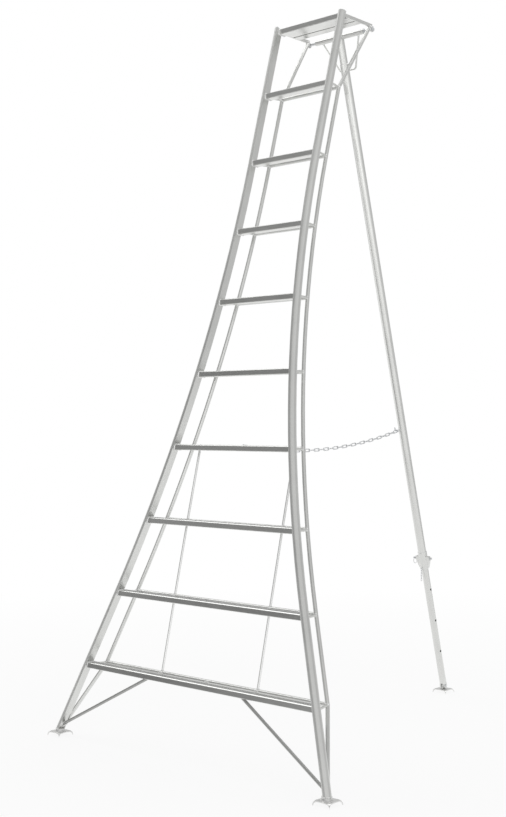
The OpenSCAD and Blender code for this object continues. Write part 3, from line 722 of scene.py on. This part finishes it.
def plane_ring(at, direction, radius, normal):
    """Seam where a round bar is cut off by a plane through a point of its axis."""
    first, second = across(direction, normal.orthogonal())
    path = []
    outs = []
    for c, s in circle(sizes().bead_steps):
        out = c * first + s * second
        start = at + radius * out
        path.append(start + direction * (at - start).dot(normal) / direction.dot(normal))
        outs.append(out)
    return path, outs


def evenly(corners, steps):
    """Points at equal distances along a closed outline, with the directions out of it."""
    sides = [(p, corners[(i + 1) % len(corners)]) for i, p in enumerate(corners)]
    total = sum((q - p).length for p, q in sides)
    points = []
    outs = []
    side = 0
    gone = 0.0
    for i in range(steps):
        want = total * (i + 0.5) / steps
        while gone + (sides[side][1] - sides[side][0]).length < want:
            gone += (sides[side][1] - sides[side][0]).length
            side += 1
        p, q = sides[side]
        way = (q - p).normalized()
        points.append(p + way * (want - gone))
        outs.append(Vector((way.y, -way.x)))
    return points, outs


def arc_turns(half, steps):
    """Angles from minus half to half in equal steps."""
    return [-half + 2 * half * i / steps for i in range(steps + 1)]


def bar_outline():
    """A front bar's outline from its nose, y to the back and z up, counter-clockwise."""
    nose = []
    for turn in arc_turns(math.asin(BAR_H / 2 / NOSE_R), NOSE_STEPS):
        depth = max(NOSE_R - NOSE_FLAT + NOSE_R * math.cos(math.pi + turn), 0)
        nose.append(Vector((depth, NOSE_R * math.sin(math.pi + turn))))
    return nose + [Vector((BAR_D, -BAR_H / 2)), Vector((BAR_D, BAR_H / 2))]


def box_outline(width, height):
    """A rectangle's outline around its middle, counter-clockwise."""
    w = width / 2
    h = height / 2
    return [Vector((-w, -h)), Vector((w, -h)), Vector((w, h)), Vector((-w, h))]


def stile_outline():
    """The stile's outline: x out of the flat face, y to the back, counter-clockwise."""
    turns = arc_turns(math.acos(-STILE_MID / STILE_R), STILE_STEPS)
    return [Vector((STILE_MID + STILE_R * math.cos(turn), STILE_R * math.sin(turn))) for turn in turns]


def bar_end(z, ahead):
    """Seam around a front bar's end on the stile's flat face, and the direction off that face."""
    normal = stile_axes(z).col[0]
    middle = stile_point(z)
    points, ways = evenly(bar_outline(), sizes().bead_steps)
    path = []
    for p in points:
        y = p.x - ahead
        path.append(middle + Vector((-(normal.y * y + normal.z * p.y) / normal.x, y, p.y)))
    outs = [Vector((0, way.x, way.y)) for way in ways]
    return (path, outs), -normal


# Steps that dress the ladder

class LADDER_OT_metals(bpy.types.Operator):
    """Gives every solid of the ladder its metal"""

    bl_idname = "ladder.metals"
    bl_label = "Metals"

    def execute(self, context):
        for name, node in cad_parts.items():
            finish = next(finish for starts, finish in NODE_FINISHES if name.startswith(starts))
            node.data.materials.clear()
            node.data.materials.append(finish())
        return {"FINISHED"}


class LADDER_OT_tread_welds(bpy.types.Operator):
    """Weld beads where the front and rear bars meet the stiles and the rear tubes"""

    bl_idname = "ladder.tread_welds"
    bl_label = "Tread welds"

    def execute(self, context):
        found = []
        for z, ahead in [(tread_z(i), BAR_SET) for i in TREADS] + [(PLATFORM_Z, DECK_SET)]:
            seam, along = bar_end(z, ahead)
            found += beads(seam, along, sizes().bead)
        for z in map(tread_z, TREADS):
            at = rear_point(z)
            seam = saddle(at, -X_AXIS, REAR_R, at, stile_axes(z).col[2], REAR_R)
            found += beads(seam, -X_AXIS, sizes().fine_bead)
        finish_piece(join(found, "tread_welds"), weld_metal(), "frame")
        return {"FINISHED"}


class LADDER_OT_link_welds(bpy.types.Operator):
    """Weld beads on the side links, the upright rods, the ties and the braces"""

    bl_idname = "ladder.link_welds"
    bl_label = "Link and rod welds"

    def execute(self, context):
        wire = sizes().fine_bead
        found = self.link_beads(wire) + self.rod_beads(wire) + self.tie_beads(wire) + self.brace_beads(wire)
        finish_piece(join(found, "link_welds"), weld_metal(), "frame")
        return {"FINISHED"}

    def link_beads(self, wire):
        """Beads on both ends of the links between stile and rear tube."""
        found = []
        for z in map(tread_z, TREADS):
            up = stile_axes(z).col[2]
            start = stile_point(z) + Vector((LINK_OUT, STILE_R / 2, 0))
            along = (rear_point(z) - start).normalized()
            found += beads(saddle(start, along, LINK_R, stile_middle(z), up, STILE_R), along, wire)
            found += beads(saddle(start, -along, LINK_R, rear_point(z), up, REAR_R), -along, wire)
        return found

    def rod_beads(self, wire):
        """Beads on both ends of the upright rods."""
        found = []
        for i in range(1, ROD_TREADS):
            low = rear_point(tread_z(i))
            high = rear_point(tread_z(i + 1))
            low.x = high.x = ROD_X
            along = (high - low).normalized()
            found += beads(saddle(low, along, ROD_R, low, X_AXIS, REAR_R), along, wire)
            found += beads(saddle(high, -along, ROD_R, high, X_AXIS, REAR_R), -along, wire)
        return found

    def tie_beads(self, wire):
        """Beads on both ends of the ties. Only the lowest tread has one in the middle."""
        found = []
        points, ways = evenly(box_outline(TIE_W, TIE_T), TIE_STEPS)
        outs = [Vector((way.x, 0, way.y)) for way in ways]
        for i in range(1, ROD_TREADS + 1):
            z = tread_z(i)
            front = stile_point(z).y + BAR_D - BAR_SET
            rear = rear_point(z).y - REAR_R
            for x in (ROD_X, 0.0) if i == 1 else (ROD_X,):
                for y, along in ((front, Y_AXIS), (rear, -Y_AXIS)):
                    path = [Vector((x + p.x, y, z + p.y)) for p in points]
                    found += beads((path, outs), along, wire, x > 0)
        return found

    def brace_beads(self, wire):
        """Beads on both ends of the braces."""
        z = tread_z(1)
        high = Vector((ROD_X, stile_point(z).y - BAR_SET + NOSE_R, z - BAR_H / 2))
        low = stile_point(BRACE_FOOT_Z)
        along = (low - high).normalized()
        found = beads(plane_ring(high, along, BRACE_R, Z_AXIS), along, wire)
        return found + beads(plane_ring(low, along, BRACE_R, stile_axes(BRACE_FOOT_Z).col[0]), -along, wire)


class LADDER_OT_frame_welds(bpy.types.Operator):
    """Weld beads on the rear tubes' mitres and ends, the platform's slats and the chain's eye"""

    bl_idname = "ladder.frame_welds"
    bl_label = "Frame welds"

    def execute(self, context):
        wire = sizes().fine_bead
        found = self.tube_beads(wire) + self.slat_beads(wire) + self.eye_beads(wire)
        finish_piece(join(found, "frame_welds"), weld_metal(), "frame")
        return {"FINISHED"}

    def tube_beads(self, wire):
        """Beads on the rear tubes' mitres, and where they end on the stiles and the platform."""
        found = []
        turn_low = rear_point(tread_z(1))
        turn_high = rear_point(tread_z(TREAD_COUNT))
        foot = stile_point(TURN_FOOT_Z) + Vector((STILE_MID, STILE_R / 2, 0))
        corner = Vector((SIDE_X - SIDE_T / 2, HINGE.y - SIDE_T, SIDE_LOW + REAR_R))
        for at, end, before in ((turn_low, foot, LOW_DIR), (turn_high, corner, UP_DIR)):
            strut = (end - at).normalized()
            found += beads(plane_ring(at, before, REAR_R, (strut + before).normalized()), strut, wire)
        strut = (turn_low - foot).normalized()
        up = stile_axes(TURN_FOOT_Z).col[2]
        found += beads(saddle(foot, strut, REAR_R, stile_middle(TURN_FOOT_Z), up, STILE_R), strut, wire)
        strut = (turn_high - corner).normalized()
        return found + beads(saddle(corner, strut, REAR_R, HINGE, X_AXIS, HINGE_R + SIDE_T), strut, wire)

    def slat_beads(self, wire):
        """Beads around the slats' ends, on the inside of the side bars."""
        found = []
        middle = PLATFORM_Z + BAR_H / 2 - SLAT_T / 2
        front = DECK_Y + BAR_D + SLAT_GAP
        points, ways = evenly(box_outline(1.0, SLAT_BEAD_H), SLAT_STEPS)
        outs = [Vector((0, way.x, way.y)) for way in ways]
        for y, depth in ((front, SLAT_FRONT_D), (front + SLAT_FRONT_D + SLAT_GAP, SLAT_REAR_D)):
            path = []
            for p in points:
                path.append(Vector((SIDE_X - SIDE_T / 2, y + depth / 2 + p.x * depth, middle + p.y)))
            found += beads((path, outs), -X_AXIS, wire * SLAT_BEAD_SHARE)
        return found

    def eye_beads(self, wire):
        """Beads where the chain's eye stands on a rear bar."""
        found = []
        z = tread_z(CHAIN_TREAD)
        bar = Vector((0, rear_point(z).y, z))
        for x in (CHAIN_X - EYE_HALF_W, CHAIN_X + EYE_HALF_W):
            seam = saddle(bar + X_AXIS * x, EYE_WAY, EYE_R, bar, X_AXIS, REAR_R)
            found += beads(seam, EYE_WAY, wire, False)
        return found


class LADDER_OT_leg_welds(bpy.types.Operator):
    """Weld beads on the rear leg's sleeve, neck, yoke, lock collar and hook"""

    bl_idname = "ladder.leg_welds"
    bl_label = "Leg welds"

    def execute(self, context):
        wire = sizes().fine_bead
        found = beads(saddle(HINGE, LEG_DOWN, NECK_R * NECK_TOP_SHARE, HINGE, X_AXIS, SLEEVE_R),
                      LEG_DOWN, wire, False)
        for down, radius in ((NECK_L, NECK_R), (LOCK_AT - COLLAR_UP, LEG_R),
                             (LOCK_AT + COLLAR_DOWN, LOWER_LEG_R)):
            found += beads(plane_ring(on_leg(0, 0, down), LEG_DOWN, radius, LEG_DOWN), LEG_DOWN, wire, False)
        top = HINGE + X_AXIS * YOKE_TOP_X
        arm = (on_leg(YOKE_LOW_X, YOKE_BACK, YOKE_DOWN) - top).normalized()
        found += beads(saddle(top, arm, YOKE_R, HINGE, X_AXIS, SLEEVE_R), arm, wire)
        found += self.yoke_seat(wire)
        found += self.ear_beads(wire)
        hook = on_leg(0, 0, HOOK_AT)
        found += beads(saddle(hook, -X_AXIS, EYE_R, hook, LEG_DOWN, LEG_R), -X_AXIS, wire, False)
        finish_piece(join(found, "leg_welds"), weld_metal(), "rear_leg")
        return {"FINISHED"}

    def yoke_seat(self, wire):
        """Bead around the place where the yoke's lower rod lies on the leg."""
        path = []
        outs = []
        for c, s in circle(YOKE_SEAT_STEPS):
            x = YOKE_SEAT_HALF_W * c
            back = math.sqrt(LEG_R * LEG_R - x * x)
            path.append(on_leg(x, back, YOKE_DOWN + YOKE_SEAT_HALF_L * s))
            outs.append((X_AXIS * c + LEG_DOWN * s).normalized())
        return beads((path, outs), LEG_BACK, wire, False)

    def ear_beads(self, wire):
        """Beads around both lock ears on the collar."""
        points, ways = evenly(box_outline(EAR_T, EAR_L), EAR_STEPS)
        path = []
        for p in points:
            path.append(on_leg(math.sqrt(LOCK_R * LOCK_R - p.x * p.x), p.x, LOCK_AT + EAR_DOWN + p.y))
        outs = [(LEG_BACK * way.x + LEG_DOWN * way.y).normalized() for way in ways]
        return beads((path, outs), X_AXIS, wire)


class LADDER_OT_stile_caps(bpy.types.Operator):
    """Domed caps on the stiles' upper ends"""

    bl_idname = "ladder.stile_caps"
    bl_label = "Stile caps"

    def execute(self, context):
        out, back, up = stile_axes(STILE_TOP_Z).col
        end = stile_point(STILE_TOP_Z)
        points = evenly(stile_outline(), CAP_STEPS)[0]
        middle = Vector((STILE_R * CAP_MIDDLE_SHARE, 0))
        rows = []
        for share, high in CAP_DOME:
            row = []
            for p in points:
                flat = p.lerp(middle, share)
                row.append(end + out * flat.x + back * flat.y + up * high * sizes().cap_rise)
            rows.append(row)
        for rows_here, side in ((rows, "right"), ([mirrored(row) for row in rows], "left")):
            piece = join([skin(rows_here)], "domed_cap_" + side)
            finish_piece(piece, cap_metal(), "frame", FORM_ANGLE)
            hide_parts("stile_cap_" + side)
        return {"FINISHED"}


class LADDER_OT_feet(bpy.types.Operator):
    """Pressed claw feet: sockets on the front ones, a lug with a bore on the rear one"""

    bl_idname = "ladder.feet"
    bl_label = "Feet"

    def execute(self, context):
        foot_x = stile_point(FOOT_H).x + FOOT_SHIFT
        for s, side in ((1, "right"), (-1, "left")):
            plate = self.pressing(Vector((s * foot_x, -BASE_DEPTH / 2, 0)))
            piece = join([plate, self.socket(s)], "pressed_foot_" + side)
            finish_piece(piece, foot_metal(), "frame", FORM_ANGLE)
            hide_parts("foot_" + side)
        piece = join([self.pressing(Vector((0, PIVOT.y, 0))), self.lug()], "pressed_foot_rear")
        finish_piece(piece, foot_metal(), "rear_foot", FORM_ANGLE)
        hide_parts("foot_rear")
        return {"FINISHED"}

    def pressing(self, middle):
        """A pressed plate: its corners run down to four claws and its edges arch between them."""
        deselect()
        bpy.ops.mesh.primitive_grid_add(x_subdivisions=PLATE_CUTS, y_subdivisions=PLATE_CUTS, size=2)
        piece = made()
        half = sizes().foot_reach / math.sqrt(2)
        for v in piece.data.vertices:
            u, w = v.co.x, v.co.y
            bent = max(abs(u * w) - CLAW_START, 0) / (1 - CLAW_START)
            x = u * half * (1 - EDGE_ARCH * (1 - w * w) * abs(u) ** 3)
            y = w * half * (1 - EDGE_ARCH * (1 - u * u) * abs(w) ** 3)
            drop = FOOT_H * (1 - math.sqrt(max(1 - bent * bent, 0)))
            dome = PLATE_DOME_H * math.exp(-(x * x + y * y) / PLATE_DOME_AREA)
            v.co = middle + Vector((x, y, FOOT_H - drop + dome))
        bpy.ops.object.modifier_add(type="SOLIDIFY")
        wall = piece.modifiers[-1]
        wall.thickness = sizes().foot_plate
        wall.offset = -1
        bpy.ops.object.modifier_apply(modifier=wall.name)
        for v in piece.data.vertices:
            v.co.z = max(v.co.z, 0)
        return piece

    def socket(self, s):
        """A flared socket around the stile's lower end, on the right (s = 1) or the left (s = -1)."""
        r = sizes().socket_r
        top = sizes().socket_top
        base = FOOT_H - SINK
        middle = stile_middle((FOOT_H + top) / 2)
        profile = [(0, base)]
        profile += [(r + out, base + up) for out, up in SOCKET_FLARE]
        profile += [(r + out, top + up) for out, up in SOCKET_LIP]
        profile.append((0, profile[-1][1]))
        return skin(turned(Vector((s * middle.x, middle.y, 0)), Z_AXIS, profile, SOCKET_STEPS))

    def lug(self):
        """The rear foot's lug, with the bore for the pivot pin."""
        drop = PIVOT_Z - FOOT_H + SINK
        outer = []
        eased = []
        bore = []
        for y, z in circle(LUG_STEPS, 0.5):
            reach = LUG_R
            if z <= LUG_ROUND_FROM:
                reach = min(LUG_HALF_W / max(abs(y), LUG_TINY), drop / -z)
            for loop, radius in ((outer, reach), (eased, reach - LUG_EASE), (bore, PIN_R + BORE_GAP)):
                loop.append((radius * y, radius * z))
        half = LUG_T / 2
        rows = []
        for x, loop in ((-half, bore), (-half, eased), (LUG_EASE - half, outer), (half - LUG_EASE, outer),
                        (half, eased), (half, bore), (-half, bore)):
            rows.append([PIVOT + Vector((x, y, z)) for y, z in loop])
        return skin(rows)


class LADDER_OT_hinge_fittings(bpy.types.Operator):
    """Domed ends, washers and split pins on the hinge rod"""

    bl_idname = "ladder.hinge_fittings"
    bl_label = "Hinge fittings"

    def execute(self, context):
        end = HINGE + X_AXIS * HINGE_END
        dome = [(HINGE_R * share, along) for share, along in ROD_DOME]
        found = skins(turned(end, X_AXIS, dome, DOME_STEPS))
        bore = HINGE_R + BORE_GAP
        inner = (bore, WASHER_EDGE[0][1])
        washer = (inner,) + WASHER_EDGE + ((bore, WASHER_EDGE[-1][1]), inner)
        found += skins(turned(HINGE + X_AXIS * (SIDE_X - SIDE_T / 2), X_AXIS, washer, WASHER_STEPS))
        path = []
        outs = []
        for c, s in circle(SPLIT_PIN_STEPS):
            side = SPLIT_PIN_HALF_W + SPLIT_PIN_EYE * max(s, 0) ** 3
            path.append(end + Vector((-SPLIT_PIN_IN, side * c, SPLIT_PIN_HALF_L * s)))
            outs.append(Vector((0, c, s * SPLIT_PIN_LEAN)).normalized())
        found += beads((path, outs), X_AXIS, sizes().pin_wire)
        finish_piece(join(found, "hinge_fittings"), zinc_steel(), "frame", FORM_ANGLE)
        return {"FINISHED"}


class LADDER_OT_stage(bpy.types.Operator):
    """White floor, soft studio light and the camera"""

    bl_idname = "ladder.stage"
    bl_label = "Stage"

    def execute(self, context):
        studio = context.scene.ladder_studio
        deselect()
        bpy.ops.mesh.primitive_plane_add(size=studio.floor_size)
        floor = made()
        floor.name = "floor"
        floor.data.materials.append(self.floor_white())
        self.studio_world(context)
        self.softbox()
        self.camera(context, studio)
        context.scene.view_settings.view_transform = "Standard"
        return {"FINISHED"}

    def floor_white(self):
        """White floor that keeps a faint shadow. Metal mirrors it with a dark band and brighter far off."""
        material = bpy.data.materials.new("floor white")
        material.use_nodes = True
        tree = material.node_tree
        shader = tree.nodes["Principled BSDF"]
        shader.inputs["Base Color"].default_value = (0.9, 0.9, 0.9, 1)
        shader.inputs["Roughness"].default_value = 0.9
        shader.inputs["Specular IOR Level"].default_value = 0.1
        place = tree.nodes.new("ShaderNodeTexCoord").outputs["Object"]
        length = tree.nodes.new("ShaderNodeVectorMath")
        length.operation = "LENGTH"
        tree.links.new(place, length.inputs[0])
        reach = length.outputs["Value"]
        rays = tree.nodes.new("ShaderNodeLightPath").outputs
        unseen = maths(tree, "SUBTRACT", 1.0, rays["Is Camera Ray"])
        tone = maths(tree, "MULTIPLY", self.floor_tone(tree, place, reach), unseen)
        glow = tree.nodes.new("ShaderNodeEmission")
        tree.links.new(maths(tree, "ADD", tone, rays["Is Camera Ray"]), glow.inputs["Strength"])
        clear = maths(tree, "ADD", rays["Is Glossy Ray"], rays["Is Transmission Ray"])
        seen = maths(tree, "MINIMUM", maths(tree, "ADD", rays["Is Camera Ray"], clear), 1.0)
        cover = spread(tree, reach, 1.2, 4.5, 0.87, 1.0)
        mix = tree.nodes.new("ShaderNodeMixShader")
        tree.links.new(maths(tree, "MULTIPLY", seen, cover), mix.inputs[0])
        tree.links.new(shader.outputs[0], mix.inputs[1])
        tree.links.new(glow.outputs[0], mix.inputs[2])
        tree.links.new(mix.outputs[0], tree.nodes["Material Output"].inputs["Surface"])
        return material

    def floor_tone(self, tree, place, reach):
        """Strength of the floor in the metal: a dark band at the front left, and far cards around it."""
        across_band = toward(tree, place, DARK_ACROSS)
        begun = spread(tree, across_band, -0.9, -0.1, 0.0, 0.6)
        band = maths(tree, "SUBTRACT", begun, spread(tree, across_band, 1.2, 1.9, 0.0, 0.6))
        near = spread(tree, toward(tree, place, DARK_SIDE), 1.15, 1.8, 0.0, 1.0)
        dark = maths(tree, "SUBTRACT", 1.0, maths(tree, "MULTIPLY", band, near))
        far = spread(tree, reach, 8.0, 12.0, 1.0, 1.3)
        bright = spread(tree, toward(tree, place, CAMERA_SIDE), 7.0, 11.0, 0.0, 0.4)
        dull = spread(tree, toward(tree, place, FAR_RIGHT), 4.8, 7.0, 0.0, 0.6)
        cards = maths(tree, "SUBTRACT", maths(tree, "ADD", far, bright), dull)
        return maths(tree, "MULTIPLY", dark, cards)

    def studio_world(self, context):
        """Room light, darker at the front left and behind the ladder, and white for the camera."""
        world = bpy.data.worlds.new("studio room")
        context.scene.world = world
        world.use_nodes = True
        tree = world.node_tree
        way = tree.nodes.new("ShaderNodeTexCoord").outputs["Generated"]
        up = split(tree, way)["Z"]
        open_side = spread(tree, up, 0.2, 0.75, 1.03, 0.55)
        dip = spread(tree, up, 0.12, 0.3, 0.48, 0.27)
        level = maths(tree, "ADD", dip, spread(tree, up, 0.5, 0.7, 0.0, 0.22))
        depth = maths(tree, "SUBTRACT", open_side, level)
        corner = spread(tree, toward(tree, way, DARK_SIDE), 0.5, 0.92, 0.0, 1.0)
        room = maths(tree, "SUBTRACT", open_side, maths(tree, "MULTIPLY", depth, corner))
        far_right = spread(tree, toward(tree, way, FAR_RIGHT), 0.5, 0.9, 0.0, 1.0)
        dull = maths(tree, "MULTIPLY", far_right, spread(tree, up, 0.0, 0.2, 0.34, 0.36))
        room = maths(tree, "SUBTRACT", room, dull)
        room = maths(tree, "SUBTRACT", room, spread(tree, toward(tree, way, BEHIND), 0.6, 1.0, 0.0, 0.3))
        room = maths(tree, "ADD", room, spread(tree, toward(tree, way, WINDOW), 0.94, 0.98, 0.0, 1.7))
        rays = tree.nodes.new("ShaderNodeLightPath").outputs
        background = tree.nodes["Background"]
        background.inputs["Color"].default_value = (1, 1, 1, 1)
        tree.links.new(maths(tree, "MAXIMUM", room, rays["Is Camera Ray"]), background.inputs["Strength"])

    def softbox(self):
        """A large square lamp above and behind the ladder."""
        deselect()
        bpy.ops.object.light_add(type="AREA", location=SOFTBOX_PLACE)
        lamp = made()
        lamp.name = "overhead softbox"
        lamp.data.size = SOFTBOX_SIZE
        lamp.data.energy = SOFTBOX_POWER
        lamp.rotation_euler = (SOFTBOX_TARGET - SOFTBOX_PLACE).to_track_quat("-Z", "Y").to_euler()

    def camera(self, context, studio):
        """The camera of the photograph, turned by azimuth, pitch and roll."""
        az = studio.azimuth
        pitch = studio.pitch
        ahead = Vector((-math.sin(az) * math.cos(pitch), math.cos(az) * math.cos(pitch), math.sin(pitch)))
        right = Vector((math.cos(az), math.sin(az), 0))
        up = right.cross(ahead)
        c = math.cos(studio.roll)
        s = math.sin(studio.roll)
        axes = Matrix((c * right + s * up, c * up - s * right, -ahead)).transposed()
        deselect()
        bpy.ops.object.camera_add(location=studio.eye)
        camera = made()
        camera.rotation_euler = axes.to_euler()
        camera.data.lens = studio.lens
        camera.data.sensor_width = SENSOR_MM
        camera.data.clip_end = VIEW_REACH
        context.scene.camera = camera


class LADDER_PT_panel(bpy.types.Panel):
    """Lists the steps that dress the ladder"""

    bl_idname = "LADDER_PT_panel"
    bl_label = "Picking Ladder"
    bl_space_type = "VIEW_3D"
    bl_region_type = "UI"
    bl_category = "Ladder"

    def draw(self, context):
        for step in STEPS:
            self.layout.operator(step.bl_idname)
        for name in GROUPS:
            group = getattr(context.scene, name)
            for field in group.bl_rna.properties:
                if field.identifier not in ("rna_type", "name"):
                    self.layout.prop(group, field.identifier)


STEPS = (
    LADDER_OT_metals,
    LADDER_OT_tread_welds,
    LADDER_OT_link_welds,
    LADDER_OT_frame_welds,
    LADDER_OT_leg_welds,
    LADDER_OT_stile_caps,
    LADDER_OT_feet,
    LADDER_OT_hinge_fittings,
    LADDER_OT_stage,
)
GROUPS = {"ladder_sizes": LadderSizes, "ladder_finishes": LadderFinishes, "ladder_studio": LadderStudio}


def register():
    for name, group in GROUPS.items():
        bpy.utils.register_class(group)
        setattr(bpy.types.Scene, name, PointerProperty(type=group))
    for step in STEPS:
        bpy.utils.register_class(step)
    bpy.utils.register_class(LADDER_PT_panel)


def unregister():
    bpy.utils.unregister_class(LADDER_PT_panel)
    for step in reversed(STEPS):
        bpy.utils.unregister_class(step)
    for name, group in GROUPS.items():
        delattr(bpy.types.Scene, name)
        bpy.utils.unregister_class(group)


def main():
    """Dresses the ladder."""
    register()
    bpy.ops.ladder.metals()
    bpy.ops.ladder.tread_welds()
    bpy.ops.ladder.link_welds()
    bpy.ops.ladder.frame_welds()
    bpy.ops.ladder.leg_welds()
    bpy.ops.ladder.stile_caps()
    bpy.ops.ladder.feet()
    bpy.ops.ladder.hinge_fittings()
    bpy.ops.ladder.stage()


if __name__ == "__main__":
    main()
